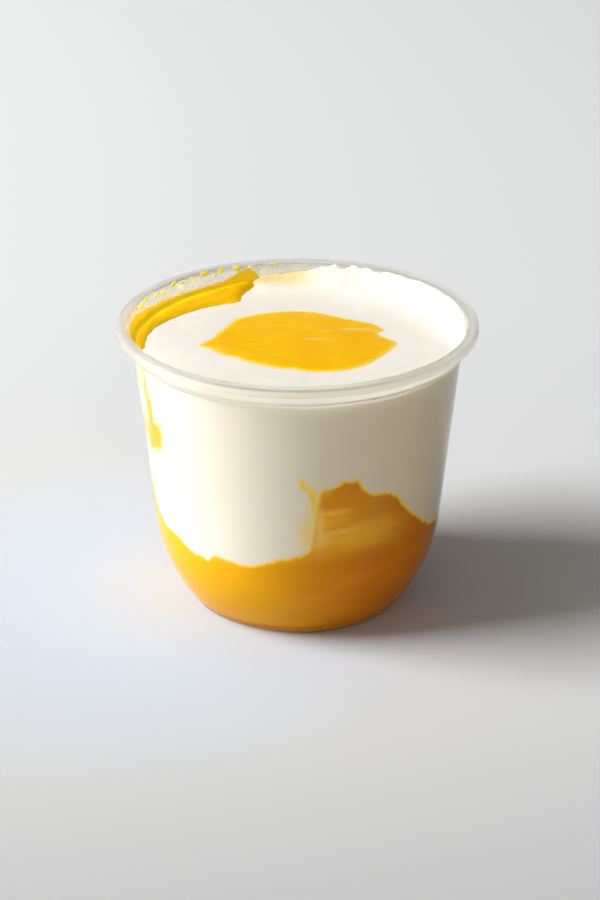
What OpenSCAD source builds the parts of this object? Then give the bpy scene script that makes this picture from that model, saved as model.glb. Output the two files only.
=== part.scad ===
// Clear plastic dessert pot of plain yogurt with yellow fruit puree under it and on it.
// Millimetres, +Z up, origin at the middle of the foot. The front is -Y.
// Angles round the pot are in degrees, anticlockwise seen from above, from +X.

/* [Cup] */
// Diameter over the rim
rim_d = 95; // [80:0.5:114]
// Height of the cup from foot to rim
cup_h = 77.6; // [64:0.2:94]
// Thickness of the wall
wall = 0.8; // [0.6:0.1:1.2]
// Lean of the straight wall from upright, in degrees
taper = 5.85; // [4:0.05:7]
// Height at which the straight wall turns into the round belly
belly_z = 24.6; // [20:0.2:30]
// Radius of the round belly
belly_r = 46.9; // [42:0.1:56]

/* [Ledge and rim] */
// Depth of the stacking ledge below the rim
ledge_drop = 6.8; // [5.6:0.1:8.2]
// Width by which the ledge steps outwards
ledge_w = 1.74; // [1.2:0.02:2.2]
// Height of the sloping ledge
ledge_h = 1.5; // [1:0.1:2]
// Widening of the collar between ledge and rim
collar_flare = 0.5; // [0.2:0.1:0.8]
// Width of the rim from the mouth to its outer edge
lip_w = 3; // [2.6:0.1:3.6]
// Height of the rim's outer skirt
lip_h = 2.2; // [1.8:0.1:2.8]
// Thickness of the rim
lip_t = 0.95; // [0.8:0.05:1.1]

/* [Foot] */
// Width of the ring that the cup stands on
foot_w = 3.2; // [2.6:0.1:4]
// Height of the hollow inside the ring
foot_h = 1; // [0.6:0.1:1.4]
// Thickness of the floor
floor_t = 0.9; // [0.7:0.1:1.2]

/* [Puree layer] */
// Height of the bottom layer in the middle of the pot
layer_z = 22; // [18:0.5:26]
// Height of the bottom layer at the wall
layer_edge_z = 23.6; // [20:0.2:28]
// Height that the tongue at the front right reaches
tongue_z = 47.4; // [40:0.2:54]
// Direction of the tongue's steep side
tongue_from = 277; // [268:1:286]
// Width of the tongue's flat top, in degrees
tongue_span = 17; // [12:1:22]
// Width of the tongue's sloping right side, in degrees
tongue_fall = 46; // [36:1:54]
// Height that the thin rise at the left adds
rise_z = 13; // [8:0.5:16]
// Direction of the thin rise at the left
rise_at = 184; // [170:1:200]

/* [Yogurt] */
// Depth of the yogurt's surface below the rim
yogurt_drop = 6.6; // [5.4:0.1:8]
// Height by which the yogurt clings to the wall all round
cling = 0.35; // [0.2:0.05:0.6]
// Depth below the rim that the bank at the back right reaches
bank_drop = 0.8; // [0.6:0.1:2]
// Direction in which the bank begins, at the right
bank_from = 2; // [-10:1:12]
// Direction in which the bank ends, at the back
bank_to = 84; // [72:1:92]

/* [Puree on top] */
// Reach of the pool to the right
pool_right = 26; // [22:0.2:28]
// Reach of the pool to the left
pool_left = 25.2; // [22:0.2:28]
// Reach of the pool to the back
pool_back = 23.6; // [20:0.2:26]
// Reach of the pool to the front
pool_front = 18.6; // [16:0.2:22]
// Depth of the pool in its middle
pool_depth = 2.6; // [1.6:0.1:4]
// Swell of the pool above the yogurt round it
pool_swell = 0.45; // [0.2:0.05:0.8]
// Direction of the ribbon's end at the back
ribbon_from = 105; // [95:5:115]
// Direction of the ribbon's end at the left
ribbon_to = 190; // [180:5:200]
// Width of the ribbon at its widest, near its back end
ribbon_w = 9; // [6:0.5:11]
// Width of the ribbon where it runs along the left
ribbon_thin_w = 4; // [3:0.5:6]
// Width of the ribbon's left tip
ribbon_tip_w = 2.2; // [1.6:0.2:3]
// Height by which the ribbon climbs the wall
ribbon_climb = 2; // [1.2:0.1:3]
// Depth of the ribbon's bed in the yogurt
ribbon_bed = 1.4; // [0.8:0.1:2]

/* [Hidden] */
// Clearance between the filling and the wall
fill_gap = 0.05;
// Fillets of the foot, the ledge, the ledge's edge inside, and the rim's two edges
foot_fillet = 2;
ledge_fillet = 0.7;
shelf_fillet = 0.3;
rim_fillet = 0.9;
mouth_fillet = 0.35;
// Slope at the hollow's rim under the foot
hollow_slope = 0.5;
// Points on the belly's arc and on a fillet
BELLY_STEPS = 14;
FILLET_STEPS = 4;
// Steps round the filling, and how its sheets are divided
STEPS = 72;
LAYER_WALL_STEPS = 9;
YOGURT_WALL_STEPS = 7;
SHEET_RINGS = [0.98, 0.94, 0.87, 0.75, 0.58, 0.38, 0.18];
BAND_RINGS = [0, 0.12, 0.28, 0.48, 0.72, 1];
FIELD_RINGS = [0.66, 0.33];
POOL_RINGS = [1, 0.86, 0.66, 0.42, 0.2];
// How late the layer's surface turns up towards the wall
sheet_power = 5;
// Width of the band along the wall where there is no ribbon
band_w = 7.5;

rim_r = rim_d / 2;
mouth_r = rim_r - lip_w;
ledge_z = cup_h - ledge_drop;
collar_r = mouth_r + wall - collar_flare;
body_r = collar_r - ledge_w;
tangent_r = body_r - (ledge_z - belly_z) * tan(taper);
belly_c = [tangent_r - belly_r * cos(taper), belly_z + belly_r * sin(taper)];
floor_z = foot_h + floor_t;
yogurt_z = cup_h - yogurt_drop;
bank_z = cup_h - bank_drop;

// ---- small helpers ----

function mix(a, b, t) = a + (b - a) * t;
function clamp01(t) = max(0, min(1, t));
// 0 up to a, 1 from b on, and a smooth turn between
function ease(a, b, x) = let (t = clamp01((x - a) / (b - a))) t * t * (3 - 2 * t);
// Difference of two directions, from -180 to 180
function turn(a, b) = let (d = (a - b) % 360) d > 180 ? d - 360 : d < -180 ? d + 360 : d;
// A smooth hump of width w round direction c
function hump(c, w, a) = exp(-pow(turn(a, c) / w, 2));
function polar(r, a, z) = [r * cos(a), r * sin(a), z];

// The corner p between a and b, rounded to radius r, as points from a's side to b's
function fillet(a, p, b, r) =
    let (
        u = (a - p) / norm(a - p),
        v = (b - p) / norm(b - p),
        half = acos(u * v) / 2,
        c = p + (u + v) / norm(u + v) * r / sin(half),
        from = p + u * r / tan(half) - c,
        sweep = (u.x * v.y - u.y * v.x > 0 ? -1 : 1) * (180 - 2 * half)
    )
    [for (i = [0:FILLET_STEPS])
        let (t = sweep * i / FILLET_STEPS)
        c + [from.x * cos(t) - from.y * sin(t), from.x * sin(t) + from.y * cos(t)]];

// The corner p between a and b, moved to the left of the way from a to b by d
function mitre(a, p, b, d) =
    let (
        u = (p - a) / norm(p - a),
        v = (b - p) / norm(b - p),
        m = [-u.y, u.x],
        n = [-v.y, v.x]
    )
    p + d * (m + n) / (1 + m * n);

// ---- the cup's section ----

// The belly's arc at radius r, from height z0 up to where the straight wall begins
function belly(r, z0) =
    let (low = -asin((belly_c.y - z0) / r))
    [for (i = [0:BELLY_STEPS])
        let (a = mix(low, -taper, i / BELLY_STEPS))
        belly_c + r * [cos(a), sin(a)]];

outer_belly = belly(belly_r, 0);
inner_belly = belly(belly_r - wall, floor_z);
ledge_low = [body_r, ledge_z];
ledge_high = [collar_r, ledge_z + ledge_h];
collar_top = [mouth_r + wall, cup_h - lip_t];
inner_low = mitre(outer_belly[BELLY_STEPS], ledge_low, ledge_high, wall);
inner_high = mitre(ledge_low, ledge_high, collar_top, wall);
mouth = [mouth_r, cup_h];

outer_side = concat(
    fillet([0, 0], outer_belly[0], outer_belly[1], foot_fillet),
    [for (i = [1:BELLY_STEPS]) outer_belly[i]],
    fillet(outer_belly[BELLY_STEPS], ledge_low, ledge_high, ledge_fillet),
    fillet(ledge_low, ledge_high, collar_top, ledge_fillet),
    [collar_top]
);
inner_ledge = fillet(inner_belly[BELLY_STEPS], inner_low, inner_high, shelf_fillet);
// Height of the ledge's edge inside, where the filling's side has to bend with it
shelf_z = inner_ledge[FILLET_STEPS / 2].y;
inner_side = concat(
    inner_belly,
    inner_ledge,
    fillet(inner_low, inner_high, mouth, ledge_fillet),
    [mouth - [0, mouth_fillet]]
);

module cup() {
    foot_r = outer_side[0].x - foot_w;
    skirt_top = [rim_r, cup_h];
    skirt_in = rim_r - lip_t;
    rim = concat(
        [[skirt_in, cup_h - lip_t], [skirt_in, cup_h - lip_h]],
        fillet([skirt_in, cup_h - lip_h], [rim_r, cup_h - lip_h], skirt_top, mouth_fillet),
        fillet([rim_r, cup_h - lip_h], skirt_top, mouth, rim_fillet),
        fillet(skirt_top, mouth, inner_high, mouth_fillet)
    );
    down = [for (i = [len(inner_side) - 2:-1:0]) inner_side[i]];
    color("whitesmoke", 0.35)
    rotate_extrude($fn = 128)
        polygon(concat(
            [[0, foot_h], [foot_r - hollow_slope, foot_h], [foot_r, 0]],
            outer_side, rim, down, [[0, floor_z]]
        ));
}

// ---- the filling ----

// Radius of the filling's side at height z
wall_table = [for (p = inner_side) [p.y, p.x]];
function fill_r(z) = lookup(z, wall_table) - fill_gap;

// Height of the bottom layer at the wall in direction a
function layer_edge(a) =
    let (b = (a + 360) % 360)
    layer_edge_z
    + 0.9 * sin(2 * b + 30)
    - 2 * hump(226, 12, b)
    + rise_z * hump(rise_at, 9, b)
    + 4.4 * ease(248, tongue_from, b) * (1 - ease(tongue_from + tongue_span, 340, b))
    + (tongue_z - layer_edge_z - 4.4) * ease(tongue_from - 1, tongue_from + 3, b)
        * (1 - 0.2 * ease(tongue_from + tongue_span, tongue_from + tongue_span + 5, b))
        * (1 - ease(tongue_from + tongue_span, tongue_from + tongue_span + tongue_fall, b));

// Surface between bottom layer and yogurt, at share s of the way from axis to wall
function sheet_point(s, a) =
    let (edge = layer_edge(a), wave = 0.8 * sin(2 * a + 50) * s * (1 - s))
    polar(s * fill_r(edge), a, layer_z + (edge - layer_z) * pow(s, sheet_power) + wave);

function round_ring(f) = [for (i = [0:STEPS - 1]) f(360 * i / STEPS)];

sheet_rings = [for (s = SHEET_RINGS) round_ring(function(a) sheet_point(s, a))];

// Height of the yogurt's edge on the wall in direction a
function bank(a) =
    let (b = turn(a, (bank_from + bank_to) / 2), w = (bank_to - bank_from) / 2)
    ease(-w, -w + 10, b) * (1 - ease(w - 5, w, b));
function yogurt_edge(a) =
    let (ragged = 0.35 * sin(11 * a) * sin(5 * a + 40) - 0.35)
    yogurt_z + cling + 0.12 * sin(3 * a) + (bank_z + ragged - yogurt_z - cling) * bank(a);

// Share of the ribbon's full size in direction a: 0 off the ribbon
function ribbon(a) =
    let (b = (a + 360) % 360)
    ease(ribbon_from - 5, ribbon_from + 10, b) * (1 - ease(ribbon_to - 20, ribbon_to + 5, b));
function band(a) =
    let (
        b = (a + 360) % 360,
        run = mix(ribbon_w, ribbon_thin_w, ease(ribbon_from + 13, ribbon_from + 63, b)),
        w = mix(run, ribbon_tip_w, ease(ribbon_to - 18, ribbon_to, b))
    )
    mix(band_w, w, ease(ribbon_from - 25, ribbon_from + 7, b)
        * (1 - ease(ribbon_to + 5, ribbon_to + 45, b)));

// Outline of the pool: a rounded lens of four quarters
function pool_r(a) =
    let (
        x = cos(a) / (cos(a) > 0 ? pool_right : pool_left),
        y = sin(a) / (sin(a) > 0 ? pool_back : pool_front),
        full = 1.85 + 0.25 * cos(a) - 0.2 * sin(a) * cos(a)
    )
    pow(pow(abs(x), full) + pow(abs(y), full), -1 / full);

function swell(r, a) =
    0.22 * sin(2 * a + 40) * r / mouth_r + 0.18 * sin(3 * a + 5 * r);

// Radius of a point at height z and at share t of the band's width from the wall
function band_r(t, a, z) = fill_r(min(z, yogurt_edge(a))) - t * band(a);

// Yogurt along the wall, at share t of the band's width from the wall
function band_point(t, a) =
    let (
        edge = yogurt_edge(a),
        rest = yogurt_z + swell(band_r(t, a, edge), a) * ease(0, 0.5, t),
        cling_on = (edge - rest) * exp(-pow(t * band(a) / 2.6, 1.5)) * (1 - ease(0.8, 1, t)),
        bed = ribbon_bed * band(a) / ribbon_w * ribbon(a) * pow(4 * t * (1 - t), 1.5),
        z = rest + cling_on - bed
    )
    polar(band_r(t, a, z), a, z);

// Yogurt between band and pool, at share t of the way out from the pool
function field_point(t, a) =
    let (r = mix(pool_r(a), norm([for (i = [0, 1]) band_point(1, a)[i]]), t))
    polar(r, a, yogurt_z + swell(r, a));

// Under and upper side of the pool, at share s of the way out to its outline
function pool_point(s, a, up) =
    let (r = s * pool_r(a), z = yogurt_z + swell(pool_r(a), a) * s, fall = 1 - s * s)
    polar(r, a, z + (up ? pool_swell * sqrt(fall) : -pool_depth * fall));

band_rings = [for (t = BAND_RINGS) round_ring(function(a) band_point(t, a))];
field_rings = [for (t = FIELD_RINGS) round_ring(function(a) field_point(t, a))];
bed_rings = [for (s = POOL_RINGS) round_ring(function(a) pool_point(s, a, false))];

// A closed solid of rings about the axis, from the lowest pole out and round to the highest.
// Its first bands may share rings with another solid that lists them the other way round,
// and are then cut along the same diagonals as there.
module shell(rings, low, high, shared = 0) {
    n = len(rings);
    pole = n * STEPS;
    sides = [
        for (k = [0:n - 2], i = [0:STEPS - 1])
            let (j = (i + 1) % STEPS, a = k * STEPS, b = a + STEPS)
            each k < shared
                ? [[a + i, b + i, a + j], [a + j, b + i, b + j]]
                : [[a + i, b + i, b + j], [a + i, b + j, a + j]]
    ];
    ends = [
        for (i = [0:STEPS - 1])
            let (j = (i + 1) % STEPS, last = (n - 1) * STEPS)
            each [[pole, i, j], [pole + 1, last + j, last + i]]
    ];
    polyhedron(concat([for (ring = rings) each ring], [[0, 0, low], [0, 0, high]]),
        concat(sides, ends));
}

module puree_layer() {
    low = floor_z + fill_gap;
    floor_rings = [for (s = [0.5, 1]) round_ring(function(a) polar(s * fill_r(low), a, low))];
    side_rings = [
        for (k = [1:LAYER_WALL_STEPS])
            round_ring(function(a)
                let (z = mix(low, layer_edge(a), k / LAYER_WALL_STEPS))
                polar(fill_r(z), a, z))
    ];
    color("orange")
    shell(concat(floor_rings, side_rings, sheet_rings), low, layer_z);
}

module yogurt() {
    under = [for (k = [len(sheet_rings) - 1:-1:0]) sheet_rings[k]];
    // The side bends at the ledge's edge, or under the yogurt's own edge if that is lower
    function neck(a) = min(shelf_z, yogurt_edge(a) - cling / 2);
    side_rings = concat(
        [for (k = [0:YOGURT_WALL_STEPS])
            round_ring(function(a)
                let (z = mix(layer_edge(a), neck(a), k / YOGURT_WALL_STEPS))
                polar(fill_r(z), a, z))],
        [round_ring(function(a)
            let (z = mix(neck(a), yogurt_edge(a), 0.3))
            polar(fill_r(z), a, z))]
    );
    color("ivory")
    shell(concat(under, side_rings, band_rings, field_rings, bed_rings),
        layer_z, yogurt_z - pool_depth, len(under));
}

module puree_pool() {
    bottom = [for (k = [len(bed_rings) - 1:-1:0]) bed_rings[k]];
    top = [
        for (k = [1:len(POOL_RINGS) - 1])
            round_ring(function(a) pool_point(POOL_RINGS[k], a, true))
    ];
    color("gold")
    shell(concat(bottom, top), yogurt_z - pool_depth, yogurt_z + pool_swell, len(bottom) - 1);
}

module puree_ribbon() {
    step = 360 / STEPS;
    first = round(ribbon_from / step);
    last = round(ribbon_to / step);
    count = len(BAND_RINGS);
    // Top of the ribbon over the point at share t of the band's width from the wall
    function crown(t, a) =
        let (
            base = band_point(t, a),
            size = ribbon(a),
            hook = 2.6 * hump(ribbon_from + 5, 6, a),
            climb = (ribbon_climb + hook) * size * pow(1 - t, 2.2),
            body = (0.25 + (0.4 + ribbon_bed * band(a) / ribbon_w) * size) * 4 * t * (1 - t)
        )
        base + [0, 0, climb + body];
    function section(a) =
        let (
            low = band_point(0, a).z,
            high = crown(0, a).z + 0.2,
            bend = max(mix(low, high, 0.3), min(shelf_z, mix(low, high, 0.8)))
        )
        concat(
            [for (k = [count - 1:-1:0]) band_point(BAND_RINGS[k], a)],
            [for (z = [bend, high]) polar(fill_r(z), a, z)],
            [for (k = [1:count - 2]) crown(BAND_RINGS[k], a)]
        );
    sections = [for (i = [first:last]) section(i * step)];
    n = len(sections[0]);
    end = (len(sections) - 1) * n;
    color("gold")
    polyhedron([for (s = sections) each s], concat(
        [for (k = [0:len(sections) - 2], i = [0:n - 1])
            let (j = (i + 1) % n, a = k * n, b = a + n)
            each [[a + i, a + j, b + i], [a + j, b + j, b + i]]],
        [[for (i = [n - 1:-1:0]) i], [for (i = [0:n - 1]) end + i]]
    ));
}

cup();
puree_layer();
yogurt();
puree_pool();
puree_ribbon();
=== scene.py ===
"""Clear plastic dessert pot of plain yogurt over yellow fruit puree, with puree on top.

Lengths are millimetres, and directions are degrees anticlockwise seen from above, from +X,
until a finished mesh is scaled to metres. The pot's front is -Y.
"""

import bisect
import functools
import math
import random

import bmesh
import bpy
from mathutils import Matrix, Vector, kdtree, noise


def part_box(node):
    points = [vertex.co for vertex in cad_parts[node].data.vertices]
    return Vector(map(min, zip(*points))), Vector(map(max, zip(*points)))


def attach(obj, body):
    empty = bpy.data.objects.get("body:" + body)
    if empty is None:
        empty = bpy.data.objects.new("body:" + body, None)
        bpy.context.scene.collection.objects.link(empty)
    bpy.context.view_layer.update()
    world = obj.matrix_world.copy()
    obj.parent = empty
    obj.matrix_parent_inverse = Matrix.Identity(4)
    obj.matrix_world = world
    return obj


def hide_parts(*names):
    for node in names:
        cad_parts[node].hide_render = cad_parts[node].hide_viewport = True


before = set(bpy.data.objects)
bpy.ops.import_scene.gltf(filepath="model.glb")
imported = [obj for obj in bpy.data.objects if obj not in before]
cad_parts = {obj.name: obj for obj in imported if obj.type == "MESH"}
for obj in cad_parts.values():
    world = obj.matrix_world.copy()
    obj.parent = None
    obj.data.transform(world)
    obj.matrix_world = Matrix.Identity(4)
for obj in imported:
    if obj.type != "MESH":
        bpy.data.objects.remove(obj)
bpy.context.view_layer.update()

MM = 0.001

# ---- the cup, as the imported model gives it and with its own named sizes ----
cup_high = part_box("cup")[1]
RIM_R = cup_high.x / MM
CUP_H = cup_high.z / MM
WALL = 0.8
TAPER = math.radians(5.85)
BELLY_Z = 24.6
BELLY_R = 46.9
LEDGE_DROP = 6.8
LEDGE_W = 1.74
LEDGE_H = 1.5
COLLAR_FLARE = 0.5
LIP_W = 3.0
LIP_H = 2.2
LIP_T = 0.95
FOOT_W = 3.2
FOOT_H = 1.0
FOOT_CHAMFER = 0.5
FLOOR_T = 0.9
FOOT_FILLET = 2.0
LEDGE_FILLET = 0.7
SHELF_FILLET = 0.3
RIM_FILLET = 0.9
MOUTH_FILLET = 0.35
GATE_R = 1.5
GATE_H = 0.3

MOUTH_R = RIM_R - LIP_W
LEDGE_Z = CUP_H - LEDGE_DROP
COLLAR_R = MOUTH_R + WALL - COLLAR_FLARE
BODY_R = COLLAR_R - LEDGE_W
TANGENT_R = BODY_R - (LEDGE_Z - BELLY_Z) * math.tan(TAPER)
BELLY_C = Vector((TANGENT_R - BELLY_R * math.cos(TAPER), BELLY_Z + BELLY_R * math.sin(TAPER)))
FLOOR_Z = FOOT_H + FLOOR_T

CUP_STEPS = 240
BELLY_STEPS = 30
FILLET_STEPS = 6
# How far the lip's milky finish reaches below the ledge, and how far the foot's painted glow of
# the puree reaches above its floor and in from its ring
LIP_FINISH = 0.6
FOOT_GLOW_REACH = (0.6, 1.0)
SHARP_EDGE = math.radians(50)

# ---- the filling ----
# How far the filling reaches into the wall, so that no air shows between them
SINK = 0.12
# Steps round the filling
STEPS = 720
# About the wall's radius, for roughness that runs along it
WALL_R = 43.0
# The distance from an edge that counts as nowhere near it
FAR = 9.0

# Height of the puree's upper edge on the wall, as (direction, height)
LAYER_EDGE = [
    (8, 25.5), (40, 24.0), (80, 25.5), (115, 23.5), (150, 25.0), (172, 28.0), (181, 36.5),
    (187, 39.0), (192, 34.5), (196, 29.8), (200, 27.2), (205, 25.6), (213, 25.2), (220, 23.5),
    (226, 22.3), (231, 22.0), (235, 24.1), (240, 24.0), (250, 23.5), (256, 24.4), (262, 26.4),
    (270, 27.6), (274.5, 29.0), (276, 34.0), (277.3, 44.0), (279, 47.2), (284, 47.5),
    (288, 48.6), (292.5, 48.6), (295.5, 45.4), (300, 43.6), (306, 42.9), (310, 41.2),
    (315, 37.4), (320, 34.2), (328, 29.8), (337, 26.2), (350, 24.8),
]
# Height of the sheet between puree and yogurt at the axis, and how sharply it turns to the edge
LAYER_Z = 22.0
SHEET_POWER = 5
# Places of the sheet's rings, as shares of the way from the axis to the wall
SHEET_SHARES = [0, 0.15, 0.35, 0.55, 0.72, 0.84, 0.92, 0.96, 0.985, 1]

YOGURT_DROP = 6.6
YOGURT_Z = CUP_H - YOGURT_DROP
# Height of the yogurt's edge on the wall above its surface, as (direction, height)
BANK_EDGE = [
    (3, 3.4), (9, 5.2), (18, 5.9), (34, 6.15), (76, 6.2), (81, 5.4), (87, 4.2), (93, 3.5),
    (102, 3.0), (108, 1.6), (116, 0.4), (150, 0.4), (190, 0.5), (270, 0.4), (350, 0.4),
    (356, 1.2),
]
# How far in from the wall the yogurt's climb reaches, where the edge is low and at the bank
BANK_REACH = (0.8, 3.6)
# Notches in the bank's upper edge, as (direction, half width, depth)
BANK_NOTCHES = [
    (60.5, 2.2, 1.0), (73.5, 1.6, 1.1), (79.0, 1.0, 0.5), (67.0, 0.9, 0.45), (47.0, 1.6, 0.5),
    (39.0, 0.9, 0.4), (28.0, 1.6, 0.5), (14.0, 1.3, 0.5),
]
BANK_BELOW_RIM = 0.12
# Stain of puree on the bank's tail beside the ribbon: directions over which it comes and goes,
# heights above the yogurt over which it comes, and its strength
STAIN_IN = (80, 92)
STAIN_OUT = (110, 116)
STAIN_RISE = (0.4, 2.2)
STAIN = 0.42

# Outline of the pool, as (direction, distance from the axis)
POOL_EDGE = [
    (0, 26.2), (6, 24.6), (14, 22.8), (18, 22.6), (23, 25.0), (30, 24.8), (38, 24.0), (46, 22.4),
    (55, 21.6), (66, 22.0), (78, 23.3), (92, 23.6), (106, 23.8), (120, 24.0), (132, 24.1),
    (143, 23.0), (155, 22.2), (168, 22.4), (178, 24.4), (183, 25.8), (188, 23.6), (199, 21.6),
    (213, 18.9), (229, 18.1), (246, 17.7), (264, 17.6), (280, 19.2), (298, 21.0), (313, 22.7),
    (330, 23.2), (345, 24.4), (355, 25.6),
]
# Depth of the pool at the axis, and how far it stands over the yogurt there
POOL_DEPTH = 2.6
POOL_SWELL = 0.5

# Inner edge of the ribbon, as (direction, distance from the axis), and its height on the wall
RIBBON_FROM = 103.5
RIBBON_TO = 191.0
RIBBON_EDGE = [
    (104, 43.0), (107, 41.9), (110, 40.6), (114, 37.6), (117, 34.6), (121, 34.2), (127, 35.0),
    (134, 35.8), (140, 36.5), (148, 37.3), (156, 38.6), (163, 39.5), (172, 39.9), (182, 40.0),
    (187, 40.5), (191, 41.6), (220, 42.5), (330, 42.5),
]
RIBBON_TOP = [
    (102, 71.6), (105, 74.6), (108, 76.3), (111, 75.7), (115, 74.4), (120, 73.5), (128, 73.2),
    (140, 73.4), (153, 73.7), (162, 74.4), (170, 74.9), (178, 75.1), (184, 74.2), (189, 72.6),
    (192, 71.4), (300, 71.2),
]
RIBBON_BED = 1.3
# Lengths over which the ribbon's blunt end and its tip round off, in degrees
RIBBON_BLUNT = 5.0
RIBBON_TIP = 9.0
RIBBON_THICK = 0.8
# Directions between which its climb to the wall goes from its form at the back to its form at
# the left: how far it reaches in, and its share of the height on the wall, where the film's coat
# makes the rest
RIBBON_TURN = (114, 150)
RIBBON_REACH = (3.0, 2.0)
RIBBON_CLIMB = (0.3, 0.02)
# The least share of its width that its ends keep, and the depth of its colour at the wall
RIBBON_LEAST = 0.02
RIBBON_DEEP = 1.8
RIBBON_STEPS = 220

# Spots of puree on the wall under the rim, as (direction, height, half width)
SPOTS = [
    (98.5, 76.9, 0.6), (107.0, 76.8, 0.8), (112.0, 77.0, 1.3), (118.5, 76.9, 1.0),
    (125.0, 76.9, 1.4), (121.0, 75.9, 0.5), (139.5, 76.8, 1.1), (145.0, 75.6, 0.9),
    (152.0, 76.9, 0.8), (148.5, 76.2, 0.6), (157.0, 76.6, 0.8), (160.0, 75.6, 1.1),
    (165.0, 76.5, 1.0), (169.0, 75.7, 0.7), (174.0, 76.6, 0.6), (131.0, 77.0, 0.6),
]


# ---- small helpers ----


def clamp(t):
    """The value, kept from 0 to 1."""
    return max(0.0, min(1.0, t))


def ease(a, b, x):
    """0 up to a, 1 from b on, and a smooth turn between."""
    t = clamp((x - a) / (b - a))
    return t * t * (3 - 2 * t)


def mix(a, b, t):
    """The value at share t of the way from a to b."""
    return a + (b - a) * t


def turn(a, b):
    """Difference of two directions, from -180 to 180."""
    return (a - b + 180) % 360 - 180


def polar(r, a, z):
    """The point at distance r from the axis, in direction a, at height z."""
    rad = math.radians(a)
    return Vector((r * math.cos(rad), r * math.sin(rad), z))


def through(points, a):
    """A smooth line through (direction, value) points all round the pot, read at direction a.
    It never swings past a point, so steep sides stay clean."""
    n = len(points)
    after = next((i for i, p in enumerate(points) if p[0] > a), n)
    near = [after + j for j in (-2, -1, 0, 1)]
    x = [points[i % n][0] + 360 * (i // n) for i in near]
    y = [points[i % n][1] for i in near]
    slope = [(y[i + 1] - y[i]) / (x[i + 1] - x[i]) for i in range(3)]

    def tangent(s, t):
        if s * t <= 0:
            return 0.0
        return 2 * s * t / (s + t)

    h = x[2] - x[1]
    t = (a - x[1]) / h
    m1, m2 = tangent(slope[0], slope[1]) * h, tangent(slope[1], slope[2]) * h
    bend = t * t * (3 - 2 * t)
    return mix(y[1], y[2], bend) + t * (1 - t) * ((1 - t) * m1 - t * m2)


def ragged(a, grain, seed, r=WALL_R):
    """Noise from -1 to 1 along a circle of radius r, with features of that grain."""
    return noise.noise(polar(r / grain, a, seed))


# ---- the cup's section, as (distance from the axis, height) ----


def rounded(before, corner, after, radius):
    """The corner, rounded, as points from before's side to after's."""
    u = (before - corner).normalized()
    v = (after - corner).normalized()
    half = u.angle(v) / 2
    middle = corner + (u + v).normalized() * (radius / math.sin(half))
    start = corner + u * (radius / math.tan(half)) - middle
    sweep = (math.pi - 2 * half) * (-1 if u.cross(v) > 0 else 1)
    return [
        middle + Matrix.Rotation(sweep * i / FILLET_STEPS, 2) @ start
        for i in range(FILLET_STEPS + 1)
    ]


def offset_corner(before, corner, after, by):
    """The corner, moved to the left of the way from before to after."""
    u = (corner - before).normalized()
    v = (after - corner).normalized()
    m, n = Vector((-u.y, u.x)), Vector((-v.y, v.x))
    return corner + (m + n) * (by / (1 + m.dot(n)))


def belly(radius, z0):
    """The belly's arc from height z0 up to where the straight wall begins."""
    low = -math.asin((BELLY_C.y - z0) / radius)
    turns = [mix(low, -TAPER, i / BELLY_STEPS) for i in range(BELLY_STEPS + 1)]
    return [BELLY_C + Vector((math.cos(t), math.sin(t))) * radius for t in turns]


outer_belly = belly(BELLY_R, 0)
inner_belly = belly(BELLY_R - WALL, FLOOR_Z)
ledge_low = Vector((BODY_R, LEDGE_Z))
ledge_high = Vector((COLLAR_R, LEDGE_Z + LEDGE_H))
collar_top = Vector((MOUTH_R + WALL, CUP_H - LIP_T))
inner_low = offset_corner(outer_belly[-1], ledge_low, ledge_high, WALL)
inner_high = offset_corner(ledge_low, ledge_high, collar_top, WALL)
mouth = Vector((MOUTH_R, CUP_H))

outer_side = (
    rounded(Vector((0, 0)), outer_belly[0], outer_belly[1], FOOT_FILLET)
    + outer_belly[1:]
    + rounded(outer_belly[-1], ledge_low, ledge_high, LEDGE_FILLET)
    + rounded(ledge_low, ledge_high, collar_top, LEDGE_FILLET)
    + [collar_top]
)
inner_side = (
    inner_belly
    + rounded(inner_belly[-1], inner_low, inner_high, SHELF_FILLET)
    + rounded(inner_low, inner_high, mouth, LEDGE_FILLET)
    + [mouth - Vector((0, MOUTH_FILLET))]
)
inner_heights = [p.y for p in inner_side]


def inner_r(z):
    """Radius of the cup's inside at height z."""
    k = min(max(bisect.bisect(inner_heights, z), 1), len(inner_side) - 1)
    low, high = inner_side[k - 1], inner_side[k]
    return mix(low.x, high.x, clamp((z - low.y) / (high.y - low.y)))


def fill_r(z):
    """Radius of the filling at height z, just inside the wall's own thickness."""
    return inner_r(z) + SINK


# ---- the filling's form ----


@functools.cache
def layer_edge(a):
    """Height of the puree's upper edge on the wall in direction a."""
    rough = 0.45 * ragged(a, 3.0, 3) + 0.42 * ragged(a, 1.5, 8) + 0.25 * ragged(a, 0.8, 5)
    return through(LAYER_EDGE, a) + rough


def sheet_point(s, a):
    """Surface between puree and yogurt, at share s of the way from the axis to the wall."""
    edge = layer_edge(a)
    z = LAYER_Z + (edge - LAYER_Z) * s ** SHEET_POWER
    return polar(s * fill_r(edge), a, z)


@functools.cache
def bank_z(a):
    """Height of the yogurt on the wall in direction a, without the raggedness of its edge."""
    return YOGURT_Z + through(BANK_EDGE, a)


@functools.cache
def yogurt_edge(a):
    """Height of the yogurt's edge on the wall in direction a."""
    high = ease(1, 5, bank_z(a) - YOGURT_Z)
    rough = (0.04 + 0.36 * high) * ragged(a, 2.2, 21) + 0.26 * high * ragged(a, 0.9, 27)
    notch = sum(deep * math.exp(-((turn(a, at) / half) ** 2)) for at, half, deep in BANK_NOTCHES)
    return min(bank_z(a) + rough - notch * high, CUP_H - BANK_BELOW_RIM)


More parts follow.
